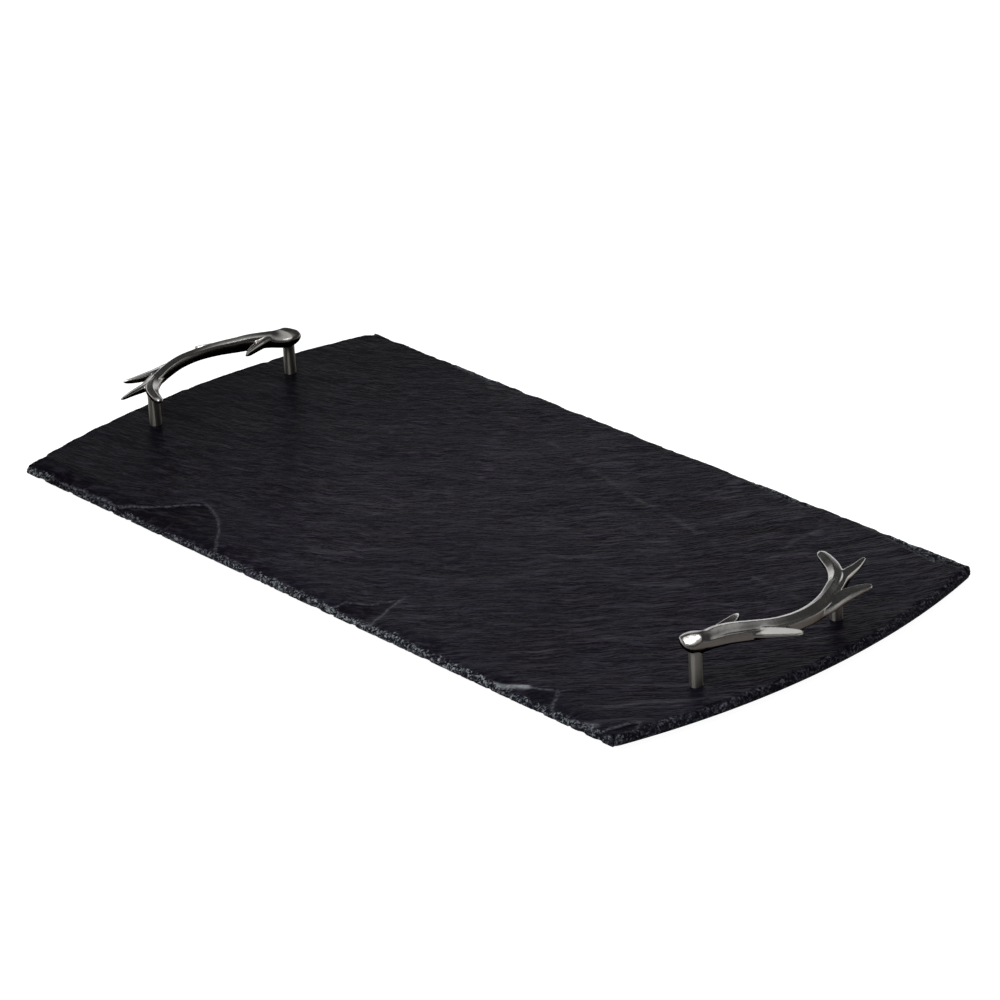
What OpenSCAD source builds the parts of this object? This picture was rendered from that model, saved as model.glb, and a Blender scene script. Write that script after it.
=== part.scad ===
// Slate serving board with a pair of cast antler handles.
// X runs along the board, Y across it and Z up. The origin is on the table, below the middle of the board.

/* [Slate slab] */
// Length of the slab between the crowns of its two bowed ends
slab_l = 600; // [420:5:800]
// Width of the slab
slab_w = 300; // [240:5:400]
// Thickness of the slab
slab_t = 6; // [5:0.5:10]
// How far each short end bows out past its corners
end_bow = 22; // [8:1:35]

/* [Dressed edge] */
// Width of the chipped bevel round the upper edge
bevel_w = 3.5; // [2.5:0.5:6]
// Height of the chipped bevel
bevel_h = 4; // [2.5:0.5:4.5]
// Greatest depth of a single chip
chip_depth = 1.4; // [0.4:0.1:2]
// Length of a single chip along the edge
chip_l = 8; // [6:1:20]
// Depth of the flake scars beside the edge
scar_depth = 0.6; // [0.3:0.1:1]

/* [Handles] */
// Distance from the crown of an end to the line through its two posts
handle_inset = 33.5; // [30:0.5:60]
// Distance between the two posts of one handle
post_pitch = 116; // [100:1:140]
// How far the right handle is set from the middle of the board, toward its burr
right_burr_shift = 14.5; // [0:0.5:20]
// How far the left handle is set from the middle of the board, toward its burr
left_burr_shift = 6.5; // [0:0.5:20]
// How far the beam of an antler bows out from the line through its posts
beam_bow = 21.5; // [14:0.5:28]
// Thickness of the beam at its middle
beam_d = 9; // [7:0.5:11]

/* [Posts and screws] */
// Diameter of a post
post_d = 8; // [7:0.5:12]
// Height of a post, the finger room under the antler
post_h = 23.5; // [16:0.5:35]
// Diameter of a screw
screw_d = 4; // [3:0.5:5]
// Depth that a screw reaches into the antler
screw_grip = 4.7; // [3.5:0.1:6]
// Thickness of a washer
washer_t = 0.8; // [0.5:0.1:1.2]

/* [Feet] */
// Diameter of a foot where it is stuck to the slab
foot_d = 14; // [10:1:20]
// Height of a foot
foot_h = 5; // [4.5:0.5:8]
// Distance from an end of the slab to the middle of a foot
foot_end_inset = 48; // [40:1:80]
// Distance from a long side of the slab to the middle of a foot
foot_side_inset = 30; // [20:1:50]

/* [Hidden] */
$fn = 48;

// Clearance round a screw where it passes through the slab, a post or a washer
screw_clear = 0.3;
// Clearance round a screw in the tapped hole, for the thread that is not drawn
thread_clear = 0.02;
// Depth left below the end of a screw in its tapped hole
tap_extra = 1;
// How far a cut runs past the face it opens
overrun = 1;

// Heights above the table
slab_z = foot_h;
top_z = slab_z + slab_t;

// Places of the four posts, [x, y]
post_x = slab_l / 2 - handle_inset;
left_burr = [-post_x, left_burr_shift + post_pitch / 2];
left_crown = [-post_x, left_burr_shift - post_pitch / 2];
right_burr = [post_x, -right_burr_shift - post_pitch / 2];
right_crown = [post_x, -right_burr_shift + post_pitch / 2];

// Places of the four feet, [x, y]
foot_x = slab_l / 2 - foot_end_inset;
foot_y = slab_w / 2 - foot_side_inset;
left_near = [-foot_x, -foot_y];
left_far = [-foot_x, foot_y];
right_near = [foot_x, -foot_y];
right_far = [foot_x, foot_y];

// The slab: straight long sides, ends on a circular arc, and a chipped edge all round

// Radius of the arc of an end, and half the angle that it spans
end_r = (slab_w * slab_w / 4 + end_bow * end_bow) / (2 * end_bow);
end_angle = asin(slab_w / 2 / end_r);
// Length of a straight side from corner to corner
side_l = slab_l - 2 * end_bow;
// Chips along a side and along an end
side_chips = ceil(side_l / chip_l);
end_chips = ceil(2 * end_r * end_angle * PI / 180 / chip_l);
edge_points = 2 * (side_chips + end_chips);

// Point of the clean outline, drawn in by a distance; t counts chips anticlockwise from the near left corner
function edge_point(t, inset) =
    t < side_chips ?
        [-side_l / 2 + side_l * t / side_chips, inset - slab_w / 2] :
    t < side_chips + end_chips ?
        let (a = end_angle * (2 * (t - side_chips) / end_chips - 1))
        [slab_l / 2 - end_r + (end_r - inset) * cos(a), (end_r - inset) * sin(a)] :
    -edge_point(t - side_chips - end_chips, inset);

// Levels of the dressed edge, from below the underside to above the top. The side stands nearly upright
// to the arris, and the chipped bevel leans in from there. Columns: height, how far the level is drawn in,
// and the share of a chip's depth that bites there
arris_z = slab_t - bevel_h;
edge_levels = [
    [-overrun, 0.12 * bevel_w, 0.1],
    [arris_z, 0, 0.15],
    [arris_z + 0.35 * bevel_h, 0.35 * bevel_w, 0.8],
    [slab_t + overrun, bevel_w * (1 + overrun / bevel_h), 1]
];

// How deep each chip bites at each level, as shares of the greatest depth
chip_seed = 8;
chip_shares = rands(0, 1, edge_points * len(edge_levels), chip_seed);

module dressed_block() {
    n = edge_points;
    levels = len(edge_levels);
    points = [
        for (k = [0 : levels - 1])
            let (row = edge_levels[k])
            for (t = [0 : n - 1])
                let (bite = chip_depth * row[2] * chip_shares[k * n + t])
                let (p = edge_point(t, row[1] + bite))
                [p[0], p[1], row[0]]
    ];
    walls = [
        for (k = [0 : levels - 2])
            for (t = [0 : n - 1])
                let (a = k * n + t, b = k * n + (t + 1) % n)
                for (face = [[a, a + n, b], [b, a + n, b + n]])
                    face
    ];
    underside = [[for (t = [0 : n - 1]) t]];
    top = [[for (t = [n - 1 : -1 : 0]) (levels - 1) * n + t]];
    polyhedron(points, concat(walls, underside, top));
}

// The block split to the slab's two flat faces
module slab_body() {
    intersection() {
        dressed_block();
        translate([-slab_l / 2 - overrun, -slab_w / 2 - overrun, 0])
            cube([slab_l + 2 * overrun, slab_w + 2 * overrun, slab_t]);
    }
}

// Flake scars beside the near side, where the top layer has come away with the edge.
// Each has its length, its reach inward, its middle as a share of the slab's length, and its outline
// as shares of its length and of its reach.
left_scar_l = 168;
left_scar_reach = 43;
left_scar_place_share = -0.283;
left_scar_shares = [
    [-0.5, 0], [-0.43, 0.07], [-0.1, 0.1], [0.02, 0.37], [0.1, 0.7], [0.17, 1],
    [0.24, 0.93], [0.32, 0.77], [0.42, 0.42], [0.5, 0]
];
middle_scar_l = 38;
middle_scar_reach = 40;
middle_scar_place_share = 0.08;
middle_scar_shares = [[-0.5, 0], [-0.47, 0.3], [-0.05, 0.48], [0.2, 1], [0.34, 0.5], [0.5, 0]];
right_scar_l = 56;
right_scar_reach = 20;
right_scar_place_share = 0.335;
right_scar_shares = [[-0.5, 0], [-0.27, 0.3], [-0.05, 0.6], [0.21, 1], [0.38, 0.45], [0.5, 0]];

module scar(place_share, length, reach, shares) {
    translate([slab_l * place_share, -slab_w / 2, slab_t - scar_depth])
        linear_extrude(scar_depth + overrun)
            polygon([for (s = shares) [s[0] * length, s[1] == 0 ? -overrun : s[1] * reach]]);
}

module slate_board() {
    color("#26262b")
    difference() {
        translate([0, 0, slab_z])
            difference() {
                slab_body();
                scar(left_scar_place_share, left_scar_l, left_scar_reach, left_scar_shares);
                scar(middle_scar_place_share, middle_scar_l, middle_scar_reach, middle_scar_shares);
                scar(right_scar_place_share, right_scar_l, right_scar_reach, right_scar_shares);
            }
        for (place = [left_burr, left_crown, right_burr, right_crown])
            translate([place[0], place[1], slab_z - overrun])
                cylinder(d = screw_d + 2 * screw_clear, h = slab_t + 2 * overrun);
    }
}

// The antler, in its own frame: X from the burr to the crown, Y inward over the board, Z up,
// with the origin on the slab midway between the posts

// Height of the middle of the beam above the slab
beam_z = post_h + 0.45 * beam_d;

// Smooth curve through the rows of a table; t counts rows, and every column is curved alike
function curve(table, t) =
    let (
        i = min(floor(t), len(table) - 2),
        f = t - i,
        a = table[max(i - 1, 0)],
        b = table[i],
        c = table[i + 1],
        d = table[min(i + 2, len(table) - 1)]
    )
    b + f / 2 * ((c - a) + f * ((2 * a - 5 * b + 4 * c - d) + f * (3 * (b - c) + d - a)));

function unit(v) = v / norm(v);
function middle(row) = [row[0], row[1], row[2]];

// One ring of a branch: the section's points set square to the path, level across
function ring(table, t, section) =
    let (
        last = len(table) - 1,
        row = curve(table, t),
        ahead = unit(middle(curve(table, min(t + 0.1, last))) - middle(curve(table, max(t - 0.1, 0)))),
        across = unit(cross([0, 0, 1], ahead)),
        above = cross(ahead, across)
    )
    [for (s = section) middle(row) + across * row[3] * s[0] + above * row[4] * s[1]];

// A branch of the casting, lofted along its path: rows of [x, y, z, half width, half height]
module branch(table, section, steps) {
    n = len(section);
    rings = (len(table) - 1) * steps;
    points = [for (k = [0 : rings]) each ring(table, k / steps, section)];
    walls = [
        for (k = [0 : rings - 1])
            for (s = [0 : n - 1])
                let (a = k * n + s, b = k * n + (s + 1) % n)
                for (face = [[a, a + n, b], [b, a + n, b + n]])
                    face
    ];
    start = [[for (s = [0 : n - 1]) s]];
    end = [[for (s = [n - 1 : -1 : 0]) rings * n + s]];
    polyhedron(points, concat(walls, start, end));
}

// Section of the beam in shares of its half width and half height: a ridge along the inner top,
// a flat from there down to a second ridge on the outside, and a round underside
beam_section_shares = [
    [1, 0], [0.94, 0.42], [0.72, 0.8], [0.38, 1], [0, 0.88], [-0.42, 0.64], [-0.8, 0.28],
    [-1, -0.12], [-0.88, -0.52], [-0.6, -0.84], [-0.2, -1], [0.28, -0.97], [0.68, -0.74], [0.93, -0.38]
];
// Section of the burr: a round crest over the post, falling away to a lip on the inside
burr_section_shares = [
    [1, -0.04], [0.84, 0.34], [0.56, 0.66], [0.2, 0.92], [-0.16, 1], [-0.52, 0.88], [-0.84, 0.54],
    [-1, 0], [-0.88, -0.48], [-0.54, -0.85], [-0.06, -1], [0.42, -0.88], [0.8, -0.5]
];
// Section of a tine: a flattened round with an edge on each side
tine_section_shares = [
    [1, 0], [0.76, 0.58], [0.3, 0.92], [-0.3, 0.92], [-0.76, 0.58],
    [-1, 0], [-0.76, -0.58], [-0.3, -0.92], [0.3, -0.92], [0.76, -0.58]
];

// Paths of the branches. Columns: x in shares of half the post pitch, y in shares of the bow,
// and height, half width and half height in shares of the beam's thickness
burr_shares = [
    [-1.100, 0.16, 0.05, 0.30, 0.22],
    [-1.080, 0.15, 0.06, 0.66, 0.46],
    [-1.030, 0.13, 0.08, 0.88, 0.58],
    [-0.950, 0.09, 0.08, 0.92, 0.62],
    [-0.870, 0.00, 0.06, 0.80, 0.58],
    [-0.780, -0.12, 0.02, 0.56, 0.48]
];
beam_shares = [
    [-0.960, 0.04, 0.02, 0.48, 0.42],
    [-0.860, -0.06, 0.02, 0.62, 0.52],
    [-0.700, -0.27, 0.00, 0.63, 0.56],
    [-0.440, -0.62, -0.03, 0.60, 0.53],
    [-0.200, -0.91, -0.03, 0.56, 0.49],
    [0.060, -1.04, -0.02, 0.52, 0.46],
    [0.330, -1.02, -0.01, 0.52, 0.45],
    [0.600, -0.77, 0.00, 0.52, 0.45],
    [0.830, -0.43, 0.00, 0.56, 0.45],
    [1.005, -0.03, 0.00, 0.54, 0.44],
    [1.130, 0.40, 0.04, 0.40, 0.38],
    [1.205, 0.90, 0.12, 0.30, 0.30],
    [1.230, 1.20, 0.19, 0.22, 0.22],
    [1.235, 1.31, 0.21, 0.10, 0.10]
];
brow_shares = [
    [-0.86, -0.06, 0.08, 0.30, 0.40],
    [-0.66, 0.00, 0.08, 0.38, 0.38],
    [-0.48, 0.08, 0.09, 0.28, 0.27],
    [-0.34, 0.23, 0.06, 0.16, 0.18],
    [-0.285, 0.33, 0.05, 0.07, 0.09]
];
side_shares = [
    [-0.66, -0.46, -0.12, 0.30, 0.30],
    [-0.43, -0.80, -0.14, 0.38, 0.30],
    [-0.25, -1.18, -0.14, 0.32, 0.24],
    [-0.13, -1.48, -0.13, 0.22, 0.18],
    [-0.10, -1.58, -0.12, 0.10, 0.10]
];
point_shares = [
    [0.92, -0.18, 0.00, 0.40, 0.36],
    [1.12, -0.14, 0.01, 0.36, 0.32],
    [1.30, -0.03, 0.04, 0.24, 0.22],
    [1.43, 0.09, 0.08, 0.14, 0.14],
    [1.49, 0.15, 0.11, 0.07, 0.08]
];
back_shares = [
    [0.20, -1.12, -0.12, 0.36, 0.34],
    [0.48, -1.06, -0.15, 0.44, 0.38],
    [0.76, -0.93, -0.14, 0.46, 0.38],
    [0.95, -0.94, -0.13, 0.32, 0.27],
    [1.07, -1.01, -0.12, 0.19, 0.18],
    [1.115, -1.05, -0.12, 0.08, 0.09]
];

// A path table in real lengths
function path(shares) = [
    for (s = shares)
        [s[0] * post_pitch / 2, s[1] * beam_bow, beam_z + s[2] * beam_d, s[3] * beam_d, s[4] * beam_d]
];

branch_steps = 3;
seat_d = post_d;

// A post's seat under the casting: a short boss, faced off at the post's top
module seats() {
    for (side = [-1, 1])
        translate([side * post_pitch / 2, 0, post_h])
            cylinder(d = seat_d, h = beam_z - post_h);
}

module facing_and_tapping() {
    for (side = [-1, 1])
        translate([side * post_pitch / 2, 0, 0]) {
            translate([0, 0, post_h - beam_d])
                cylinder(d = seat_d + 2 * overrun, h = beam_d);
            translate([0, 0, post_h - overrun])
                cylinder(d = screw_d + 2 * thread_clear, h = screw_grip + tap_extra + overrun);
        }
}

module antler() {
    difference() {
        union() {
            branch(path(burr_shares), burr_section_shares, branch_steps);
            branch(path(beam_shares), beam_section_shares, branch_steps);
            branch(path(brow_shares), tine_section_shares, branch_steps);
            branch(path(side_shares), tine_section_shares, branch_steps);
            branch(path(point_shares), tine_section_shares, branch_steps);
            branch(path(back_shares), tine_section_shares, branch_steps);
            seats();
        }
        facing_and_tapping();
    }
}

module left_antler() {
    color("#8f8a80")
    translate([-post_x, left_burr_shift, top_z])
        rotate([0, 0, -90])
            antler();
}

module right_antler() {
    color("#8f8a80")
    translate([post_x, -right_burr_shift, top_z])
        rotate([0, 0, 90])
            antler();
}

// The small pieces are drawn standing at their own place, [x, y]

// A turned sleeve, bored right through for its screw, with its arrises broken
post_arris = 0.3;

module post(place) {
    r = post_d / 2;
    bore_r = screw_d / 2 + screw_clear;
    color("#9a958c")
    translate([place[0], place[1], top_z])
        rotate_extrude()
            polygon([
                [bore_r, 0], [r - post_arris, 0], [r, post_arris],
                [r, post_h - post_arris], [r - post_arris, post_h], [bore_r, post_h]
            ]);
}

// A pan head screw, put in from below through washer, slab and post
head_d = 2 * screw_d;
head_h = 0.6 * screw_d;
// The head's edge, its domed rim and its cross recess
head_rim = 0.5 * head_h;
recess_l = 0.6 * head_d;
recess_w = 0.25 * screw_d;
recess_depth = 0.5 * head_h;
tip_taper = 0.15 * screw_d;

module screw(place) {
    shank_l = washer_t + slab_t + post_h + screw_grip;
    color("#b4b4b0")
    translate([place[0], place[1], slab_z - washer_t])
        difference() {
            rotate_extrude()
                polygon([
                    [0, -head_h], [head_d / 2 - head_rim, -head_h], [head_d / 2, -head_h + head_rim],
                    [head_d / 2, 0], [screw_d / 2, 0], [screw_d / 2, shank_l - tip_taper],
                    [screw_d / 2 - tip_taper, shank_l], [0, shank_l]
                ]);
            for (turn = [0, 90])
                rotate([0, 0, turn])
                    translate([-recess_l / 2, -recess_w / 2, -head_h - overrun])
                        cube([recess_l, recess_w, recess_depth + overrun]);
        }
}

// A flat washer between the head and the slab
washer_d = 2.25 * screw_d;

module washer(place) {
    color("#b4b4b0")
    translate([place[0], place[1], slab_z - washer_t])
        difference() {
            cylinder(d = washer_d, h = washer_t);
            translate([0, 0, -overrun])
                cylinder(d = screw_d + 2 * screw_clear, h = washer_t + 2 * overrun);
        }
}

// A moulded bumper foot stuck under the slab: a tapering side, a round edge and a flat to stand on
foot_taper = 0.12 * foot_d;
foot_edge_r = 0.3 * foot_h;
edge_steps = 6;

module foot(place) {
    base_r = foot_d / 2 - foot_taper;
    color("#3a3a3a")
    translate([place[0], place[1], 0])
        rotate_extrude()
            polygon(concat(
                [[0, 0]],
                [
                    for (k = [0 : edge_steps])
                        let (a = 90 * k / edge_steps)
                        [base_r - foot_edge_r * (1 - sin(a)), foot_edge_r * (1 - cos(a))]
                ],
                [[foot_d / 2, foot_h], [0, foot_h]]
            ));
}

slate_board();
left_antler();
right_antler();
post(left_burr);  // left_burr_post
post(left_crown);  // left_crown_post
post(right_burr);  // right_burr_post
post(right_crown);  // right_crown_post
screw(left_burr);  // left_burr_screw
screw(left_crown);  // left_crown_screw
screw(right_burr);  // right_burr_screw
screw(right_crown);  // right_crown_screw
washer(left_burr);  // left_burr_washer
washer(left_crown);  // left_crown_washer
washer(right_burr);  // right_burr_washer
washer(right_crown);  // right_crown_washer
foot(left_near);  // left_near_foot
foot(left_far);  // left_far_foot
foot(right_near);  // right_near_foot
foot(right_far);  // right_far_foot
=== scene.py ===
import math

import bmesh
import bpy
import numpy as np
from mathutils import Matrix, Vector, noise


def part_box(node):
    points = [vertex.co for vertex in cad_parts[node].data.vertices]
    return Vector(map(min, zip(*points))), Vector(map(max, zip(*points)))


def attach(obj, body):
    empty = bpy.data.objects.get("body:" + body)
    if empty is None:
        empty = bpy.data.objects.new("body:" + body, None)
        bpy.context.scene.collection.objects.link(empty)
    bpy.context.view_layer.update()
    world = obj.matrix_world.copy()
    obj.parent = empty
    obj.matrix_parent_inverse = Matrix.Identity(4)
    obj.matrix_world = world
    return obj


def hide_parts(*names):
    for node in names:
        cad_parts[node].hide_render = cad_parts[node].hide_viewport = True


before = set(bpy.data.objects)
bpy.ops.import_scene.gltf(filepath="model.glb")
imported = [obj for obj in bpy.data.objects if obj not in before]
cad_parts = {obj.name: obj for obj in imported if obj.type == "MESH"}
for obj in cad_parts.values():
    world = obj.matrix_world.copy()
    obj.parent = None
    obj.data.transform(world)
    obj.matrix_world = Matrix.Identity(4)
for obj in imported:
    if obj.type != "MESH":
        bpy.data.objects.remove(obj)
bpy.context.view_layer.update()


# Slate slab
# One sheet of slate, riven from the block so that its top keeps a fine wavy grain. The sides are straight,
# the ends bow outwards, and the whole edge is dressed by knocking chips off it from above.
mm = 0.001
slab_l = 600 * mm
slab_w = 300 * mm
slab_t = 6 * mm
end_bow = 22 * mm
slab_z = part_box("slate_board")[0].z
top_z = slab_z + slab_t
end_r = (slab_w ** 2 / 4 + end_bow ** 2) / (2 * end_bow)

# Middle of the arcs that the grain follows
grain_x = -341 * mm
grain_y = 405 * mm

# Where the posts stand on the slab. The two handles aren't placed quite alike
post_pitch = 116 * mm
post_inset = 33.5 * mm
post_x = slab_l / 2 - post_inset
right_shift = 14.5 * mm
left_shift = 6.5 * mm
post_places = {
    "left_burr": (-post_x, left_shift + post_pitch / 2),
    "left_crown": (-post_x, left_shift - post_pitch / 2),
    "right_burr": (post_x, -right_shift - post_pitch / 2),
    "right_crown": (post_x, -right_shift + post_pitch / 2),
}


def fresh_edit():
    """Nothing selected, object mode."""
    if bpy.context.object and bpy.context.object.mode != "OBJECT":
        bpy.ops.object.mode_set(mode="OBJECT")
    bpy.ops.object.select_all(action="DESELECT")


def pick(obj):
    """Only this object selected."""
    fresh_edit()
    obj.select_set(True)
    bpy.context.view_layer.objects.active = obj


def points_of(obj):
    points = np.zeros(len(obj.data.vertices) * 3)
    obj.data.vertices.foreach_get("co", points)
    return points.reshape(-1, 3)


def put_points(obj, points):
    obj.data.vertices.foreach_set("co", np.ascontiguousarray(points, dtype=np.float64).ravel())
    obj.data.update()


def keep_values(obj, name, values):
    """A value for each point of the mesh, for its material to read."""
    layer = obj.data.attributes.new(name, "FLOAT", "POINT")
    layer.data.foreach_set("value", np.ascontiguousarray(values, dtype=np.float32))


def smoothstep(x, low, high):
    t = np.clip((x - low) / (high - low), 0, 1)
    return t * t * (3 - 2 * t)


def field(x, y, size, seed, octaves=3):
    """Soft noise from -1 to 1 over the slab, with bumps of a size along x and y."""
    fading = 0.9
    shrinking = 2.0
    return np.array([
        noise.fractal(Vector((a / size[0], b / size[1], seed)), fading, shrinking, octaves)
        for a, b in zip(x, y)
    ])


def edge_field(places, size, seed, row=0, octaves=3):
    """Soft noise from -1 to 1 along the edge, another one for each row."""
    return field(places, np.full(len(places), float(row)), (size, 1), seed, octaves)


# The top starts as a grid of small squares, bent to the bowed outline
grid_x = 380
grid_y = 190
fresh_edit()
bpy.ops.mesh.primitive_grid_add(x_subdivisions=grid_x, y_subdivisions=grid_y, size=2)
slate = bpy.context.object
slate.name = "slate_slab"
bpy.ops.object.mode_set(mode="EDIT")
bpy.ops.mesh.select_mode(type="EDGE")
bpy.ops.mesh.select_all(action="SELECT")
bpy.ops.mesh.region_to_loop()
top_count = len(slate.data.vertices)
top = slice(top_count)

# The edge is drawn down from the top's border in rings, the last two on the underside. Columns: depth below
# the top, and how far the ring stands out from the clean outline before any chips are struck
edge_rings = [
    (0.35 * mm, -1.3 * mm),
    (0.8 * mm, -1.0 * mm),
    (1.4 * mm, -0.75 * mm),
    (2.0 * mm, -0.5 * mm),
    (2.7 * mm, -0.3 * mm),
    (3.4 * mm, -0.12 * mm),
    (4.1 * mm, 0.0 * mm),
    (4.8 * mm, 0.0 * mm),
    (5.5 * mm, -0.1 * mm),
    (6.0 * mm, -0.45 * mm),
    (6.0 * mm, -6.0 * mm),
]
flat_rings = 2
for ring in edge_rings:
    bpy.ops.mesh.extrude_edges_move()
bpy.ops.mesh.edge_face_add()
bpy.ops.object.mode_set(mode="OBJECT")

# The clean outline, and the way out of it at each point of the border
flat = points_of(slate)
flat_x, flat_y = flat[:, 0], flat[:, 1]
border_from = 0.9999
tiny = 1e-9
on_side = np.abs(flat_y) > border_from
on_end = np.abs(flat_x) > border_from
border = on_side | on_end
clean_y = flat_y * slab_w / 2
reach = slab_l / 2 - end_r + np.sqrt(end_r ** 2 - clean_y ** 2)
clean_x = flat_x * reach
out_x = np.where(on_end, np.sign(flat_x) * np.sqrt(1 - (clean_y / end_r) ** 2), 0)
out_y = np.where(on_side, np.sign(flat_y), 0) + np.where(on_end, clean_y / end_r, 0)
out_l = np.maximum(np.hypot(out_x, out_y), tiny)
out_x, out_y = out_x / out_l, out_y / out_l

# Places along the edge run anticlockwise from the middle of the near side. These are the middles of the
# other three sides
right_middle = slab_l / 2 + slab_w / 2
far_middle = slab_l + slab_w
left_middle = 1.5 * slab_l + 1.5 * slab_w
around = np.select(
    [on_side & (flat_y < 0), on_end & (flat_x > 0), on_side, on_end],
    [clean_x, right_middle + clean_y, far_middle - clean_x, left_middle - clean_y],
    0,
)

# Chips struck off the edge: place along it, half length, depth at the top and how steeply it runs out below.
# On the far side and the left end they are longer and shallower, and three corners are knocked off
least_chip = 1.2 * mm
deepest_chip = 5.0 * mm
half_dice = (3.0, 1.5)
depth_dice = (2.2, 0.85)
lean_dice = (0.5, 1.6)
step_dice = (0.55, 1.2)
long_chips_from = slab_l / 2 + slab_w
long_stretch = 1.7
corner_chip = (8 * mm, deepest_chip, 0.6)
dice = np.random.default_rng(11)
chips = []
place = -slab_l / 2
while place < 2 * slab_l + 2 * slab_w:
    half = dice.gamma(*half_dice) * mm + least_chip
    depth = min(dice.gamma(*depth_dice) * mm + least_chip, deepest_chip)
    if place > long_chips_from:
        half *= long_stretch
        depth = (least_chip + depth) / 2
    chips.append((place, half, depth, dice.uniform(*lean_dice)))
    place += half * dice.uniform(*step_dice)
for corner in (slab_l / 2, slab_l / 2 + slab_w, 1.5 * slab_l + slab_w):
    chips.append((corner, *corner_chip))
chips = np.array(chips)
chip_curve = 0.9
chip_span = 1.6


def edge_out(places, depth_below, stand):
    """How far the dressed edge stands out from the clean outline, at places and depths below the top."""
    out = np.full(len(places), float(stand))
    for middle, half, depth, lean in chips:
        near = np.abs(places - middle) < chip_span * half
        bowl = depth * ((places[near] - middle) / half) ** 2 * chip_curve
        out[near] = np.minimum(out[near], -depth + lean * depth_below[near] + bowl)
    return out


placed = np.zeros_like(flat)
ring_of = np.full(len(flat), -1)
border_count = int(border[top].sum())
for k in range(len(edge_rings)):
    start = top_count + k * border_count
    ring_of[start:start + border_count] = k

# Border of the top, and how the squares just inside follow it
inset = 1.7 * mm
follow_w = 9 * mm
rim = np.where(border[top])[0]
rim_out = edge_out(around[rim], np.zeros(len(rim)), -inset)
placed[top, 0] = clean_x[top] * (1 - inset / reach[top])
placed[top, 1] = clean_y[top] * (1 - inset / (slab_w / 2))
pulls = {}
for point, pull in zip(rim, rim_out + inset):
    pulls[(round(flat_x[point], 5), round(flat_y[point], 5))] = pull
for sign in (-1, 1):
    pull = np.array([pulls[(round(x, 5), float(sign))] for x in flat_x[top]])
    dist = slab_w / 2 - sign * clean_y[top]
    placed[top, 1] += sign * pull * np.clip(1 - dist / follow_w, 0, 1)
for sign in (-1, 1):
    pull = np.array([pulls[(float(sign), round(y, 5))] for y in flat_y[top]])
    dist = reach[top] - sign * clean_x[top]
    placed[top, 0] += sign * pull * np.clip(1 - dist / follow_w, 0, 1)

# Relief of the riven top: slow waves, ripples along the grain and thin terraces where it split in steps
wander_size, wander_w = (80 * mm, 80 * mm), 5 * mm
wave_size, wave_h = (150 * mm, 110 * mm), 0.22 * mm
ripple_size, ripple_h = (70 * mm, 13 * mm), 0.07 * mm
terrace_size, terrace_h = (120 * mm, 26 * mm), 0.05 * mm
terrace_count = 5
terrace_rise = (0.35, 0.65)
grain_l = 500 * mm
top_x, top_y = placed[top, 0], placed[top, 1]
wander = field(top_x, top_y, wander_size, seed=3.1) * wander_w
along = np.arctan2(top_y - grain_y, top_x - grain_x) * grain_l
across = np.hypot(top_x - grain_x, top_y - grain_y) + wander
relief = field(top_x, top_y, wave_size, seed=7.7) * wave_h
relief += field(along, across, ripple_size, seed=1.3) * ripple_h
steps = field(along, across, terrace_size, seed=5.9, octaves=4) * terrace_count
relief += (np.floor(steps) + smoothstep(steps - np.floor(steps), *terrace_rise)) * terrace_h


def line_distance(x, y, line):
    """Distance from points to a line of straight pieces."""
    best = np.full(len(x), 1e9)
    for (x0, y0), (x1, y1) in zip(line[:-1], line[1:]):
        dx, dy = x1 - x0, y1 - y0
        t = np.clip(((x - x0) * dx + (y - y0) * dy) / (dx * dx + dy * dy), 0, 1)
        best = np.minimum(best, np.hypot(x - x0 - t * dx, y - y0 - t * dy))
    return best


def inside(x, y, line):
    """Whether points lie inside a closed line."""
    odd = np.zeros(len(x), bool)
    for (x0, y0), (x1, y1) in zip(line, line[1:] + line[:1]):
        crosses = (y0 > y) != (y1 > y)
        span = (y1 - y0) if y1 != y0 else 1e-12
        odd ^= crosses & (x < (x1 - x0) * (y - y0) / span + x0)
    return odd


# Flake scars beside the long sides, in millimetres from the middle of the slab: outline and depth
scars = [
    ([(-258, -158), (-254, -152), (-243, -147), (-222, -145), (-186, -145), (-166, -134), (-153, -120),
      (-142, -107), (-130, -110), (-116, -117), (-99, -132), (-84, -146), (-80, -158)], 0.8 * mm),
    ([(27, -158), (30, -144), (31, -138), (46, -131), (55, -110), (61, -130), (67, -150), (67, -158)],
     0.6 * mm),
    ([(170, -158), (173, -151), (186, -144), (198, -138), (213, -130), (222, -141), (229, -152), (230, -158)],
     0.8 * mm),
    ([(-200, 158), (-188, 146), (-149, 144), (-140, 158)], 1.0 * mm),
    ([(76, 158), (87, 147), (142, 142), (156, 158)], 1.2 * mm),
    ([(258, -158), (264, -147), (270, -131), (275, -124), (281, -134), (284, -146), (287, -158)], 0.9 * mm),
    ([(184, 158), (193, 148), (236, 141), (258, 138), (279, 145), (284, 158)], 1.3 * mm),
]
scar_slope = 2.0 * mm
ragged_size, ragged_w = (9 * mm, 9 * mm), 1.2 * mm
ragged = field(top_x, top_y, ragged_size, seed=9.4) * ragged_w
scar_mask = np.zeros(top_count)
for outline, depth in scars:
    outline = [(x * mm, y * mm) for x, y in outline]
    dist = line_distance(top_x, top_y, outline[1:-1]) + ragged
    cut = np.where(inside(top_x, top_y, outline), smoothstep(dist, 0, scar_slope), 0)
    relief -= depth * cut
    scar_mask = np.maximum(scar_mask, cut)

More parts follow.
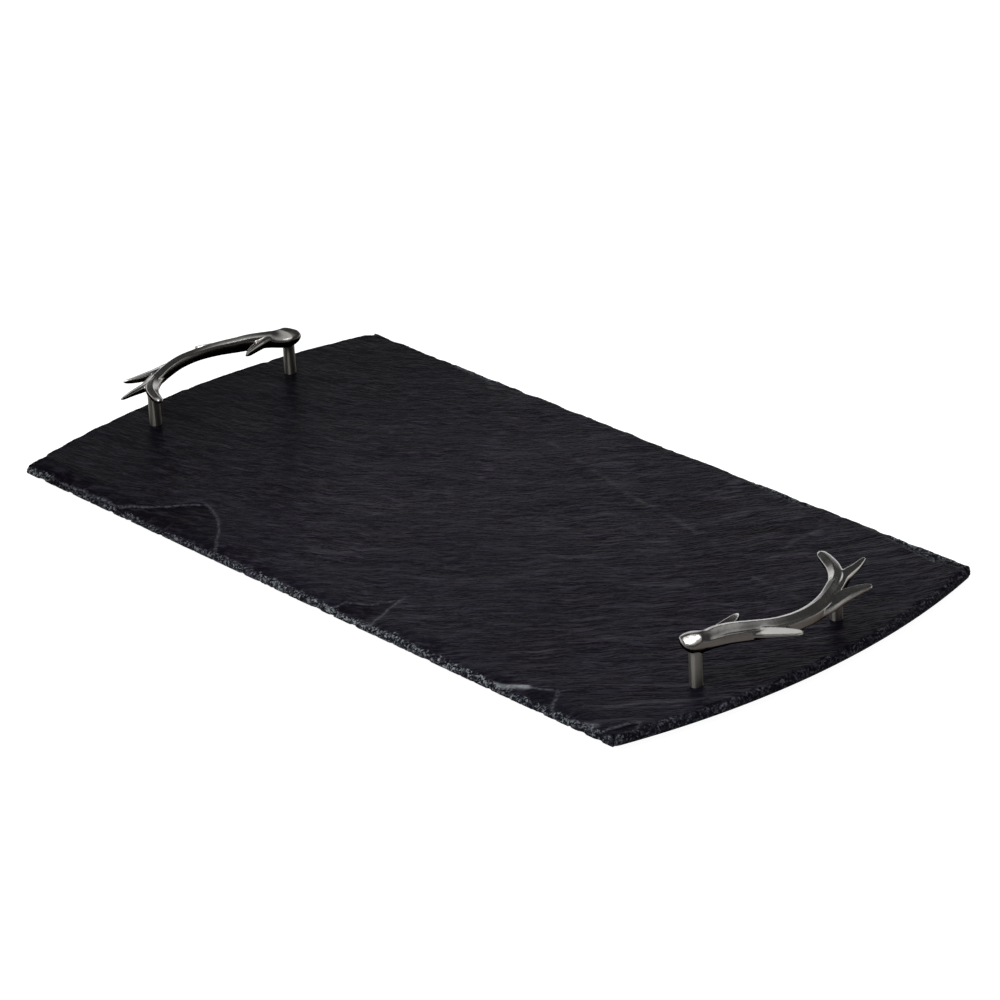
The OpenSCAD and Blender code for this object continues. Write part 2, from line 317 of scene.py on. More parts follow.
# Creases where the sheet sheared: a line in millimetres, the height and half width of the small ridge along
# it, how uneven it is and how pale its crest is made, partly bruised stone and partly painted highlight
creases = [
    ([(-47, 103), (10, 91), (53, 81), (98, 76), (155, 63)], 0.30 * mm, 2.0 * mm, 1.0, 0.11),
    ([(180, 78), (174, 105), (175, 131)], 0.26 * mm, 2.0 * mm, 1.0, 0.10),
    ([(191, 50), (233, 47)], 0.20 * mm, 2.0 * mm, 1.0, 0.09),
    ([(186, 84), (191, 96)], 0.30 * mm, 2.0 * mm, 1.0, 0.12),
    ([(55, -110), (66, -148)], 0.20 * mm, 1.6 * mm, 0.7, 0.08),
    ([(168, -152), (175, -149), (186, -144), (196, -139)], 0.55 * mm, 1.1 * mm, 0.15, 0.75),
    ([(252, -147), (259, -144)], 0.40 * mm, 1.5 * mm, 0.3, 0.40),
]
uneven_size, crease_stray = (14 * mm, 14 * mm), 2.6 * mm
crease_pale_highlight_mask = np.zeros(top_count)
uneven = field(top_x, top_y, uneven_size, seed=15.3)
for line, height, half, share, pale in creases:
    line = [(x * mm, y * mm) for x, y in line]
    dist = (line_distance(top_x, top_y, line) + share * crease_stray * uneven) / half
    crest = np.exp(-dist ** 2) * (1 - share * (1 - smoothstep(uneven, -0.5, 0.3)))
    relief += height * crest
    crease_pale_highlight_mask = np.maximum(crease_pale_highlight_mask, pale * crest)

# The slab is left flat under the posts
calm_r = 5 * mm
rough_r = 14 * mm
calm = np.ones(top_count)
for x, y in post_places.values():
    calm *= smoothstep(np.hypot(top_x - x, top_y - y), calm_r, rough_r)
placed[top, 2] = top_z + relief * calm

# Along the near side the flakes ran out to the rim and left it thin: place along the side and height lost
thin_places = np.array([-300, -262, -240, -110, -84, 20, 36, 60, 72, 168, 180, 222, 236, 300]) * mm
thin_heights = np.array([1.0, 2.0, 3.4, 3.2, 2.0, 1.7, 2.6, 2.6, 1.6, 1.6, 3.0, 2.9, 2.0, 1.4]) * mm
thin_w = 16 * mm
thin_bumps = 9 * mm
thin_seed = 17.7
thin_least, thin_more = 0.75, 0.5
lost = np.interp(clean_x[top], thin_places, thin_heights)
lost *= thin_least + thin_more * np.abs(edge_field(top_x, thin_bumps, thin_seed))
near_dist = clean_y[top] + slab_w / 2
placed[top, 2] -= lost * (1 - np.clip(near_dist / thin_w, 0, 1)) ** 2
rim_bumps, rim_drop = 6 * mm, 0.35 * mm
placed[rim, 2] -= rim_drop * np.abs(edge_field(around[rim], rim_bumps, seed=2.2))

# The rings of the edge, roughened by small breaks, and bitten into low down on the near side
break_l, break_h = 2.6 * mm, 0.22 * mm
crumb_l, crumb_out = 2.4 * mm, 0.32 * mm
bite_l, bite_out = 5 * mm, 2.4 * mm
bite_from = 3 * mm
bite_least, bite_most = 0.1, 0.5
least_drop = 0.1 * mm
last_ring = len(edge_rings) - 1
for k, (below, stand) in enumerate(edge_rings):
    ring = np.where(ring_of == k)[0]
    places = around[ring]
    on_underside = k > last_ring - flat_rings
    rough = 0 if on_underside else 1
    down = below + rough * break_h * edge_field(places, break_l, seed=4.4, row=k, octaves=2)
    out = edge_out(places, down, stand)
    lost = np.interp(places, thin_places, thin_heights, right=0)
    lost *= thin_least + thin_more * np.abs(edge_field(places, thin_bumps, thin_seed))
    down = lost + down * (1 - lost / slab_t)
    out += rough * crumb_out * edge_field(places, crumb_l, seed=6.6, row=3 * k, octaves=2)
    bites = np.clip(edge_field(places, bite_l, seed=21.3) - bite_least, 0, bite_most) * bite_out
    out -= bites * (places < slab_l / 2) * min(max(below / bite_from - 1, 0), 1)
    placed[ring, 0] = clean_x[ring] + out_x[ring] * out
    placed[ring, 1] = clean_y[ring] + out_y[ring] * out
    placed[ring, 2] = slab_z if on_underside else np.minimum(top_z - down, top_z - least_drop)
    if k == last_ring:
        # The last ring is the clean outline drawn in, so that it can't fold over itself at the corners
        placed[ring, 0] = clean_x[ring] * (1 + stand / reach[ring])
        placed[ring, 1] = clean_y[ring] * (1 + stand / (slab_w / 2))
put_points(slate, placed)

# Where the stone is broken: 1 on the dressed edge, fading over the first millimetres of the top. The scars
# of the far side are partly rough too, and take the pale colour that is a painted sheen there
broken_size, broken_w = (7 * mm, 7 * mm), 2.6 * mm
whole_from, whole_to = 1.5 * mm, 4.5 * mm
far_scar_from, far_scar_rough_and_sheen_share = 100 * mm, 0.45
from_side = slab_w / 2 - np.abs(top_y)
from_end = reach[top] - np.abs(top_x)
ragged = field(top_x, top_y, broken_size, seed=12.1) * broken_w
broken = np.where(ring_of == last_ring, 0.0, 1.0)
broken[top] = 1 - smoothstep(np.minimum(from_side, from_end) + ragged, whole_from, whole_to)
broken[top] = np.maximum(broken[top], np.where(top_y > far_scar_from, far_scar_rough_and_sheen_share * scar_mask, 0))
below_top = np.zeros(len(flat) - top_count)
keep_values(slate, "broken", broken)
keep_values(slate, "scar", np.concatenate([scar_mask, below_top]))
keep_values(slate, "crease_pale_highlight", np.concatenate([crease_pale_highlight_mask, below_top]))

# How pale the edge is: place along the edge in millimetres, and share. The near side is pale, the right end
# is dark and crumbled, and on the far side the pale marks at the scars are painted sheen
pale_and_sheen_places = np.array([
    -300, -262, -250, -90, -60, 0, 80, 165, 185, 245, 275, 300, 320, 600,
    615, 622, 706, 712, 752, 758, 813, 820, 1045, 1050, 1088, 1095, 1500, 1800])
pale_and_sheen_shares = np.array([
    0.9, 0.8, 0.45, 0.5, 0.9, 1, 1, 1, 0.8, 0.7, 0.7, 0.5, 0.35, 0.25,
    0.3, 1, 1, 0.3, 0.3, 1, 1, 0.3, 0.3, 1, 1, 0.3, 0.25, 0.8])
pale_and_sheen_around = around.copy()
pale_and_sheen_around[top] = np.where(
    from_end < from_side, np.where(top_x > 0, right_middle + top_y, left_middle - top_y),
    np.where(top_y < 0, top_x, far_middle - top_x))
keep_values(slate, "struck_pale_and_sheen", np.interp(pale_and_sheen_around, pale_and_sheen_places * mm, pale_and_sheen_shares))

pick(slate)
bpy.ops.object.mode_set(mode="EDIT")
bpy.ops.mesh.select_all(action="SELECT")
bpy.ops.mesh.normals_make_consistent(inside=False)
bpy.ops.object.mode_set(mode="OBJECT")
bpy.ops.object.shade_smooth_by_angle(angle=math.radians(38))


def put(tree, kind, inputs=None, **settings):
    """A new node with its settings and inputs; an input is a value or another node's socket."""
    made = tree.nodes.new(kind)
    for key, value in settings.items():
        setattr(made, key, value)
    for key, value in (inputs or {}).items():
        if isinstance(value, bpy.types.NodeSocket):
            tree.links.new(value, made.inputs[key])
        else:
            made.inputs[key].default_value = value
    return made


def calc(tree, operation, *values):
    return put(tree, "ShaderNodeMath", dict(enumerate(values)), operation=operation).outputs[0]


def new_material(name):
    """An empty material, its nodes, and the place on the piece that its patterns read."""
    made = bpy.data.materials.new(name)
    made.use_nodes = True
    made.node_tree.nodes.clear()
    return made, made.node_tree, put(made.node_tree, "ShaderNodeTexCoord").outputs["Object"]


def cloud(tree, vector, scale, detail=2.0, roughness=0.5, stretch=(1, 1, 1)):
    """Noise from 0 to 1 on a vector, in lumps of 1 / scale metres."""
    mapped = put(tree, "ShaderNodeMapping", {"Vector": vector, "Scale": stretch})
    made = put(tree, "ShaderNodeTexNoise", {
        "Vector": mapped.outputs[0], "Scale": scale, "Detail": detail, "Roughness": roughness})
    return made.outputs["Fac"]


def spread(tree, value, span, onto, kind="LINEAR"):
    """A value moved from one span onto another, and held at their ends."""
    made = put(tree, "ShaderNodeMapRange", {
        0: value, 1: span[0], 2: span[1], 3: onto[0], 4: onto[1]}, interpolation_type=kind)
    return made.outputs[0]


def heap(tree, *layers):
    """Patterns added up, each with how much it counts."""
    total, share = layers[0]
    total = calc(tree, "MULTIPLY", total, share)
    for pattern, share in layers[1:]:
        total = calc(tree, "ADD", total, calc(tree, "MULTIPLY", pattern, share))
    return total


def tint(tree, share, first, second):
    """The first colour, with this share of the second one over it."""
    return put(tree, "ShaderNodeMix", {0: share, 6: first, 7: second}, data_type="RGBA").outputs[2]


def weigh(tree, share, first, second):
    """The first value, with this share of the second one in it."""
    return put(tree, "ShaderNodeMix", {0: share, 2: first, 3: second}, data_type="FLOAT").outputs[0]


def spot_value(tree, name):
    """The value that each point of the mesh keeps under this name."""
    return put(tree, "ShaderNodeAttribute", attribute_name=name).outputs["Fac"]


def bumps(tree, height, unit=mm, strength=1.0):
    """Relief too fine for the mesh, with its height in the given unit."""
    return put(tree, "ShaderNodeBump", {"Strength": strength, "Distance": unit, "Height": height}).outputs[0]


def finish_surface(tree, looks):
    shader = put(tree, "ShaderNodeBsdfPrincipled", looks)
    put(tree, "ShaderNodeOutputMaterial", {"Surface": shader.outputs[0]})


def coat(obj, material):
    """This material and no other on a piece."""
    obj.data.materials.clear()
    obj.data.materials.append(material)


# Colours of the stone: near black with a purple cast, its crests with painted sheen, grey wisps, cooler
# veins, the paler lips of the scars and crests of the creases, partly painted highlight, and the bruises
# where it was knocked, painted sheen on the far side
deep_stone = (0.0030, 0.0022, 0.0052, 1)
crest_sheen_stone = (0.0285, 0.0248, 0.0370, 1)
wisp_stone = (0.052, 0.053, 0.062, 1)
cool_stone = (0.0070, 0.0080, 0.0135, 1)
lip_pale_highlight_stone = (0.074, 0.078, 0.087, 1)
crease_pale_highlight_stone = (0.34, 0.36, 0.38, 1)
bruise_and_sheen_stone = (0.25, 0.28, 0.295, 1)

slate_stone, tree, here = new_material("riven slate")
split = put(tree, "ShaderNodeSeparateXYZ", {0: here}).outputs
here_x, here_y, here_z = split[0], split[1], split[2]
from_x = calc(tree, "SUBTRACT", here_x, grain_x)
from_y = calc(tree, "SUBTRACT", here_y, grain_y)
from_middle = calc(tree, "SQRT", calc(tree, "ADD", calc(tree, "MULTIPLY", from_x, from_x),
                                      calc(tree, "MULTIPLY", from_y, from_y)))
along_grain = calc(tree, "MULTIPLY", calc(tree, "ARCTAN2", from_y, from_x), grain_l)
drift = cloud(tree, here, 14.0)
tremble = cloud(tree, here, 60.0)
across_grain = heap(tree, (from_middle, 1.0), (drift, 18 * mm), (tremble, 5 * mm))
grain = put(tree, "ShaderNodeCombineXYZ", {0: along_grain, 1: across_grain, 2: here_z}).outputs[0]

ripples = cloud(tree, grain, 250.0, detail=3.0, roughness=0.6, stretch=(0.24, 1, 1))
fine = cloud(tree, grain, 520.0, detail=2.0, roughness=0.55, stretch=(0.22, 1, 1))
bands = cloud(tree, grain, 55.0, detail=3.0, roughness=0.6, stretch=(0.2, 1, 1))
streaks = cloud(tree, grain, 105.0, detail=4.0, roughness=0.65, stretch=(0.18, 1, 1))
grit = cloud(tree, here, 1500.0, detail=2.0, roughness=0.6)
patches = cloud(tree, here, 9.0, detail=3.0, roughness=0.6)
veins = cloud(tree, here, 26.0, detail=3.0, roughness=0.6)
crumble = cloud(tree, here, 620.0, detail=4.0, roughness=0.65)
lumps = cloud(tree, here, 230.0, detail=3.0, roughness=0.6)
broken_part = spot_value(tree, "broken")
pale_and_sheen_part = spot_value(tree, "struck_pale_and_sheen")
scar_part = spot_value(tree, "scar")
crease_pale_highlight_part = spot_value(tree, "crease_pale_highlight")

# The sheet split in thin steps: the noise is cut into levels with a short steep rise between them
leaf_levels = 7.0
levels = calc(tree, "MULTIPLY", ripples, leaf_levels)
rise = spread(tree, calc(tree, "FRACT", levels), (0.30, 0.70), (0, 1), "SMOOTHSTEP")
leaf = calc(tree, "ADD", calc(tree, "FLOOR", levels), rise)

# Height of the grain in millimetres, stronger toward the right end, and of the crumbled edge
riven = heap(tree, (leaf, 0.22), (fine, 0.58))
riven = calc(tree, "MULTIPLY", riven, spread(tree, here_x, (-0.28, 0.02), (0.32, 1.25)))
riven = heap(tree, (riven, 1.0), (bands, 0.5), (grit, 0.012))
crumbled = heap(tree, (crumble, 0.75), (lumps, 1.2))
high = weigh(tree, broken_part, riven, crumbled)

# The stone is lighter on the crests of the grain, a painted sheen, and in wisps, cooler in places, and darker
# toward the left end and inside the scars
crest_sheen = calc(tree, "MULTIPLY", spread(tree, ripples, (0.44, 0.60), (0.05, 1)),
              spread(tree, fine, (0.46, 0.60), (0.08, 1)))
wisps = calc(tree, "MULTIPLY", spread(tree, streaks, (0.56, 0.68), (0, 0.55), "SMOOTHSTEP"),
             spread(tree, here_x, (-0.20, 0.05), (0.1, 1.0)))
stone = tint(tree, crest_sheen, deep_stone, crest_sheen_stone)
stone = tint(tree, wisps, stone, wisp_stone)
stone = tint(tree, spread(tree, veins, (0.42, 0.62), (0, 0.5)), stone, cool_stone)
dim = calc(tree, "MULTIPLY", spread(tree, here_x, (-0.27, -0.06), (0.5, 1.0), "SMOOTHSTEP"),
           spread(tree, scar_part, (0, 1), (1, 0.7)))
stone = put(tree, "ShaderNodeVectorMath", {0: stone, "Scale": dim}, operation="SCALE").outputs[0]

# Pale marks: the lips of the scars and the crests of the creases, partly pale stone and partly painted
# highlight, and the bruises on the dressed edge, which on the far side are painted sheen
lip_pale_highlight = calc(tree, "MULTIPLY", scar_part, calc(tree, "SUBTRACT", 1.0, scar_part))
lip_pale_highlight = calc(tree, "MULTIPLY", lip_pale_highlight, spread(tree, crumble, (0.43, 0.58), (0.5, 3.2)))
crease_pale_highlight_share = calc(tree, "MULTIPLY", crease_pale_highlight_part, spread(tree, fine, (0.36, 0.54), (0.35, 1.0)))
# Bruises on the dressed edge are pale stone, and on the far side a painted sheen
bruise_and_sheen = spread(tree, crumble, (0.48, 0.60), (0, 1), "SMOOTHSTEP")
bruise_and_sheen = calc(tree, "MULTIPLY", bruise_and_sheen, spread(tree, lumps, (0.38, 0.58), (0.1, 1)))
bruise_and_sheen = calc(tree, "MULTIPLY", bruise_and_sheen, calc(tree, "MULTIPLY", broken_part, pale_and_sheen_part))
stone = tint(tree, lip_pale_highlight, stone, lip_pale_highlight_stone)
stone = tint(tree, crease_pale_highlight_share, stone, crease_pale_highlight_stone)
stone = tint(tree, bruise_and_sheen, stone, bruise_and_sheen_stone)

broken_roughness = 0.8
finish_surface(tree, {
    "Base Color": stone,
    "Roughness": weigh(tree, broken_part, spread(tree, patches, (0.3, 0.7), (0.37, 0.45)), broken_roughness),
    "Normal": bumps(tree, high),
    "Specular IOR Level": spread(tree, here_x, (-0.27, -0.06), (0.046, 0.062), "SMOOTHSTEP"),
    "Specular Tint": (0.90, 0.78, 1.0, 1)})
coat(slate, slate_stone)
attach(slate, "root")
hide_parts("slate_board")


# Antler handles
# Each handle is one metal casting shaped like a shed antler: a burr at one end, a curved beam with two
# ridges along it, and five tines. It is plated in satin nickel and screwed down on its two posts.
post_d = 8 * mm
post_h = 23.5 * mm
beam_bow = 21.5 * mm
beam_d = 9 * mm
seat_share = 0.45
beam_z = post_h + seat_share * beam_d

# Sections in shares of half width, with the left side seen along the branch above 0, and half height. A 1
# in the last column marks a ridge
burr_section = [
    (1.00, -0.02, 0), (0.88, 0.34, 0), (0.55, 0.60, 0), (0.12, 0.78, 0), (-0.40, 0.88, 0), (-0.70, 0.72, 0),
    (-0.92, 0.42, 0), (-1.00, 0.00, 0), (-0.92, -0.62, 0), (-0.68, -1.10, 0), (-0.20, -1.22, 0),
    (0.36, -1.10, 0), (0.76, -0.72, 0), (0.94, -0.32, 0)]
neck_section = [
    (1.00, -0.10, 0), (0.98, 0.25, 0), (0.92, 0.58, 0), (0.76, 0.82, 0), (0.10, 1.00, 1), (-0.22, 0.74, 0),
    (-0.56, 0.40, 0), (-0.88, 0.36, 1), (-1.00, -0.30, 0), (-0.84, -0.84, 0), (-0.24, -1.10, 0),
    (0.32, -1.06, 0), (0.74, -0.84, 0), (0.95, -0.48, 0)]
beam_section = [
    (1.00, -0.05, 0), (0.98, 0.25, 0), (0.92, 0.56, 0), (0.78, 0.80, 0), (0.08, 1.00, 1), (-0.24, 0.72, 0),
    (-0.58, 0.42, 0), (-0.88, 0.36, 1), (-1.00, -0.30, 0), (-0.88, -0.94, 0), (-0.28, -1.12, 0),
    (0.28, -0.99, 0), (0.68, -0.74, 0), (0.93, -0.40, 0)]
tine_section = [
    (1.00, 0.00, 0), (0.98, 0.22, 0), (0.94, 0.42, 0), (0.84, 0.60, 0), (0.52, 0.76, 1), (0.14, 0.54, 0),
    (-0.24, 0.38, 0), (-0.62, 0.36, 1), (-0.80, -0.14, 0), (-0.84, -0.60, 0), (-0.44, -0.92, 0),
    (0.10, -0.98, 0), (0.56, -0.78, 0), (0.88, -0.42, 0)]
side_section = [
    (1.00, 0.00, 0), (0.96, 0.30, 0), (0.84, 0.60, 0), (0.62, 0.84, 0), (0.32, 1.00, 1), (-0.04, 0.70, 0),
    (-0.38, 0.40, 0), (-0.74, 0.10, 1), (-0.82, -0.30, 0), (-0.74, -0.70, 0), (-0.32, -0.98, 0),
    (0.22, -0.92, 0), (0.64, -0.68, 0), (0.92, -0.36, 0)]
crown_section = [
    (1.00, -0.10, 0), (0.94, 0.20, 0), (0.68, 0.48, 0), (0.40, 0.74, 0), (0.10, 1.00, 1), (-0.30, 0.92, 0),
    (-0.64, 0.82, 0), (-0.90, 0.66, 0), (-1.00, 0.20, 0), (-0.86, -0.42, 0), (-0.44, -0.86, 0),
    (0.10, -1.00, 0), (0.58, -0.80, 0), (0.90, -0.46, 0)]

# Rows along each branch: place along, from the burr's post at -1 to the crown's at 1, place inward, toward
# the middle of the board, in shares of the bow, height, half width and half height in shares of the beam's
# thickness, and how far the section has changed from one of the branch's sections to the next
branches = {
    "beam": ([burr_section, neck_section, beam_section, tine_section], [
        (-1.108, 0.18, 0.20, 0.26, 0.12, 0.0), (-1.090, 0.17, 0.16, 0.62, 0.34, 0.0),
        (-1.035, 0.14, 0.08, 0.86, 0.57, 0.0), (-0.950, 0.09, 0.03, 0.92, 0.68, 0.0),
        (-0.870, 0.00, 0.04, 0.85, 0.65, 0.25), (-0.780, -0.15, 0.07, 0.74, 0.62, 0.7),
        (-0.660, -0.32, 0.10, 0.67, 0.62, 1.0), (-0.540, -0.49, 0.08, 0.64, 0.62, 1.0),
        (-0.420, -0.64, 0.03, 0.61, 0.59, 1.1), (-0.200, -0.90, -0.04, 0.57, 0.54, 1.5),
        (0.060, -1.03, -0.08, 0.55, 0.51, 2.0), (0.330, -0.99, -0.10, 0.56, 0.54, 2.0),
        (0.600, -0.74, -0.12, 0.57, 0.56, 2.0), (0.830, -0.42, -0.08, 0.60, 0.53, 2.0),
        (1.000, -0.20, -0.02, 0.54, 0.45, 2.4), (1.130, -0.12, 0.01, 0.42, 0.37, 3.0),
        (1.300, -0.02, 0.04, 0.29, 0.27, 3.0), (1.430, 0.10, 0.08, 0.19, 0.18, 3.0),
        (1.490, 0.16, 0.11, 0.10, 0.10, 3.0)]),
    "crown": ([crown_section], [
        (0.700, -0.50, -0.06, 0.36, 0.40, 0.0), (0.860, -0.28, -0.05, 0.46, 0.47, 0.0),
        (1.005, 0.02, -0.03, 0.52, 0.48, 0.0), (1.120, 0.42, 0.02, 0.48, 0.43, 0.0),
        (1.200, 0.88, 0.09, 0.41, 0.35, 0.0), (1.236, 1.15, 0.15, 0.32, 0.26, 0.0),
        (1.252, 1.28, 0.18, 0.16, 0.12, 0.0)]),
    "brow": ([tine_section], [
        (-0.90, -0.10, 0.06, 0.36, 0.46, 0.0), (-0.68, -0.08, 0.12, 0.46, 0.52, 0.0),
        (-0.50, 0.04, 0.10, 0.42, 0.46, 0.0), (-0.36, 0.20, 0.06, 0.25, 0.33, 0.0),
        (-0.275, 0.32, 0.05, 0.06, 0.10, 0.0)]),
    "side": ([side_section], [
        (-0.54, -0.66, -0.02, 0.20, 0.20, 0.0), (-0.40, -0.88, -0.05, 0.38, 0.35, 0.0),
        (-0.25, -1.18, -0.12, 0.39, 0.31, 0.0), (-0.12, -1.48, -0.19, 0.27, 0.21, 0.0),
        (-0.085, -1.60, -0.21, 0.12, 0.10, 0.0)]),
    "back": ([tine_section], [
        (0.20, -1.10, -0.18, 0.36, 0.34, 0.0), (0.48, -1.04, -0.19, 0.48, 0.43, 0.0),
        (0.76, -0.92, -0.15, 0.50, 0.44, 0.0), (0.95, -0.94, -0.13, 0.38, 0.34, 0.0),
        (1.07, -1.01, -0.12, 0.24, 0.23, 0.0), (1.12, -1.05, -0.12, 0.12, 0.12, 0.0)]),
}
row_unit = np.array([post_pitch / 2, beam_bow, beam_d, beam_d, beam_d, 1])
row_start = np.array([0, 0, beam_z, 0, 0, 0])


def smooth_between(a, b, c, d, t):
    """A point between b and c on the smooth curve through four rows."""
    return b + t / 2 * ((c - a) + t * ((2 * a - 5 * b + 4 * c - d) + t * (3 * (b - c) + d - a)))


def fine_section(section, per=4):
    """The section's outline with smooth stretches between its ridges."""
    rows = [np.array(row[:2]) for row in section]
    ridge = [row[2] for row in section]
    count = len(rows)
    out = []
    for i in range(count):
        b, c = rows[i], rows[(i + 1) % count]
        a = 2 * b - c if ridge[i] else rows[i - 1]
        d = 2 * c - b if ridge[(i + 1) % count] else rows[(i + 2) % count]
        out += [smooth_between(a, b, c, d, k / per) for k in range(per)]
    return np.array(out)


def path_row(rows, t):
    """The row at t along a branch, between the rows of its table."""
    i = min(int(t), len(rows) - 2)
    picked = [rows[min(max(j, 0), len(rows) - 1)] for j in (i - 1, i, i + 1, i + 2)]
    return smooth_between(*picked, t - i)


def branch_rings(sections, table, steps=6):
    """Rings of points along a branch, square to its path and level across, in the slab's frame."""
    shapes = [fine_section(section) for section in sections]
    rows = [np.array(row) * row_unit + row_start for row in table]
    last = len(rows) - 1
    rings = []
    for k in range(last * steps + 1):
        t = k / steps
        row = path_row(rows, t)
        ahead = path_row(rows, min(t + 0.1, last))[:3] - path_row(rows, max(t - 0.1, 0))[:3]
        ahead = Vector(ahead).normalized()
        side = Vector((0, 0, 1)).cross(ahead).normalized()
        above = ahead.cross(side)
        change = min(max(row[5], 0), len(shapes) - 1)
        first = min(int(change), max(len(shapes) - 2, 0))
        change -= first
        ring = []
        for x, y in shapes[first] * (1 - change) + shapes[min(first + 1, len(shapes) - 1)] * change:
            spot = Vector(row[:3]) + side * (row[3] * x) + above * (row[4] * y)
            ring.append(Vector((post_x - spot.y, spot.x - right_shift, top_z + spot.z)))
        rings.append(ring)
    return rings


def loft(name, rings):
    """A round face drawn out ring by ring."""
    fresh_edit()
    bpy.ops.mesh.primitive_circle_add(vertices=len(rings[0]), fill_type="NGON")
    made = bpy.context.object
    made.name = name
    bpy.ops.object.mode_set(mode="EDIT")
    shape = bmesh.from_edit_mesh(made.data)
    order = shape.verts.layers.int.new("order")
    for i, vert in enumerate(shape.verts):
        vert[order] = i
        vert.co = rings[0][i]
    for ring in rings[1:]:
        bpy.ops.mesh.extrude_region_move()
        shape = bmesh.from_edit_mesh(made.data)
        order = shape.verts.layers.int["order"]
        for vert in shape.verts:
            if vert.select:
                vert.co = ring[vert[order]]
    bpy.ops.mesh.select_all(action="SELECT")
    bpy.ops.mesh.normals_make_consistent(inside=False)
    bpy.ops.object.mode_set(mode="OBJECT")
    return made


def apply_modifier(obj, kind, **settings):
    modifier = obj.modifiers.new(kind.title(), kind)
    for key, value in settings.items():
        setattr(modifier, key, value)
    bpy.context.view_layer.objects.active = obj
    bpy.ops.object.modifier_apply(modifier=modifier.name)


def antler_spot(along, inward, above):
    """A place on the right antler, from shares like those in the rows."""
    return np.array([
        post_x - inward * beam_bow, along * post_pitch / 2 - right_shift, top_z + beam_z + above * beam_d])


pieces = [loft(name, branch_rings(*parts)) for name, parts in branches.items()]

# A short boss under the casting over each post
round_sides = 48
for side in (-1, 1):
    fresh_edit()
    bpy.ops.mesh.primitive_cylinder_add(
        vertices=round_sides, radius=post_d / 2, depth=beam_z - post_h,
        location=(post_x, side * post_pitch / 2 - right_shift, top_z + (post_h + beam_z) / 2))
    pieces.append(bpy.context.object)

fresh_edit()
for piece in pieces:
    piece.select_set(True)
bpy.context.view_layer.objects.active = pieces[0]
bpy.ops.object.join()
right_antler = bpy.context.object
right_antler.name = "right_antler_casting"
bpy.ops.object.transform_apply(location=True, rotation=True, scale=True)
voxel = 0.34 * mm
apply_modifier(right_antler, "REMESH", mode="VOXEL", voxel_size=voxel)

# The roots of the tines are blended into the beam, and the rest only loses the marks of the voxels
roots = [(-0.42, -0.80, 0.0), (-0.62, 0.02, 0.0), (1.05, 0.05, 0.1), (0.66, -0.90, 0.0)]
root_r = 4 * mm
root_end = 9 * mm
group = right_antler.vertex_groups.new(name="roots")
places = points_of(right_antler)
near = np.zeros(len(places))
for root in roots:
    dist = np.linalg.norm(places - antler_spot(*root), axis=1)
    near = np.maximum(near, 1 - smoothstep(dist, root_r, root_end))
for level in np.unique(np.round(near[near > 0.02], 1)):
    picked = np.where(np.abs(near - level) <= 0.05)[0]
    group.add([int(i) for i in picked], float(level), "REPLACE")

# Two flats rubbed on the burr: the way each faces (along, inward, up), how far it lies from the burr's
# middle and how flat it is. They fade out toward their reach
burr_middle = antler_spot(-0.97, 0.10, 0.05)
flat_reach = 14 * mm
fade_from = 0.4 * flat_reach
flats = [
    ((-0.63, -0.38, 0.67), 5.3 * mm, 0.6),
    ((0.63, 0.38, 0.67), 5.0 * mm, 0.5),
]
for (along, inward, up), level, flatness in flats:
    faces = np.array([-inward, along, up]) / math.sqrt(along * along + inward * inward + up * up)
    places = points_of(right_antler)
    over = (places - burr_middle) @ faces - level
    dist = np.linalg.norm(places - burr_middle, axis=1)
    held = (over > 0) * (1 - smoothstep(dist, fade_from, flat_reach))
    put_points(right_antler, places - faces * (flatness * over * held)[:, None])
apply_modifier(right_antler, "SMOOTH", factor=0.5, iterations=4)
apply_modifier(right_antler, "SMOOTH", factor=0.5, iterations=16, vertex_group="roots")

# The underside is faced off flat where each post meets it, and tapped for the screw
seat_clear = 0.3 * mm
seat_r = post_d / 2 + seat_clear
tapped_r = 2.02 * mm
tapped_depth = 5.7 * mm
overrun = 1 * mm
cutters = [(seat_r, post_h - beam_d, post_h), (tapped_r, post_h - overrun, post_h + tapped_depth)]
for side in (-1, 1):
    for cutter_r, low, high in cutters:
        fresh_edit()
        bpy.ops.mesh.primitive_cylinder_add(
            vertices=round_sides, radius=cutter_r, depth=high - low,
            location=(post_x, side * post_pitch / 2 - right_shift, top_z + (low + high) / 2))
        cutter = bpy.context.object
        apply_modifier(right_antler, "BOOLEAN", operation="DIFFERENCE", solver="EXACT", object=cutter)
        bpy.data.objects.remove(cutter)
right_antler.vertex_groups.clear()

# How far each part of the surface is turned from facing up, on its sides and below, where painted shade
# colours the plating dark
painted_shade_facing = (-0.46, -0.20)
facing = np.zeros(len(right_antler.data.vertices) * 3)
right_antler.data.vertices.foreach_get("normal", facing)
facing = facing.reshape(-1, 3)
keep_values(right_antler, "under", smoothstep(-facing[:, 2], *painted_shade_facing))

# How far each point stands out from its neighbours, where the ridges are made bright: wear and painted
# highlight
soften = 5
ridge_out = (0.014 * mm, 0.030 * mm)
ridge_share = 0.3
edge_ends = np.zeros(len(right_antler.data.edges) * 2, np.int32)
right_antler.data.edges.foreach_get("vertices", edge_ends)
edge_ends = edge_ends.reshape(-1, 2).T
neighbours = np.bincount(edge_ends.ravel())[:, None]


def round_about(values):
    """The mean of each point's neighbours."""
    total = np.zeros_like(values)
    np.add.at(total, edge_ends[0], values[edge_ends[1]])
    np.add.at(total, edge_ends[1], values[edge_ends[0]])
    return total / neighbours


places = points_of(right_antler)
stands_out = ((places - round_about(places)) * facing).sum(axis=1)[:, None]
for _ in range(soften):
    stands_out = round_about(stands_out)
ridge_wear_and_highlight = ridge_share * smoothstep(stands_out[:, 0], *ridge_out)

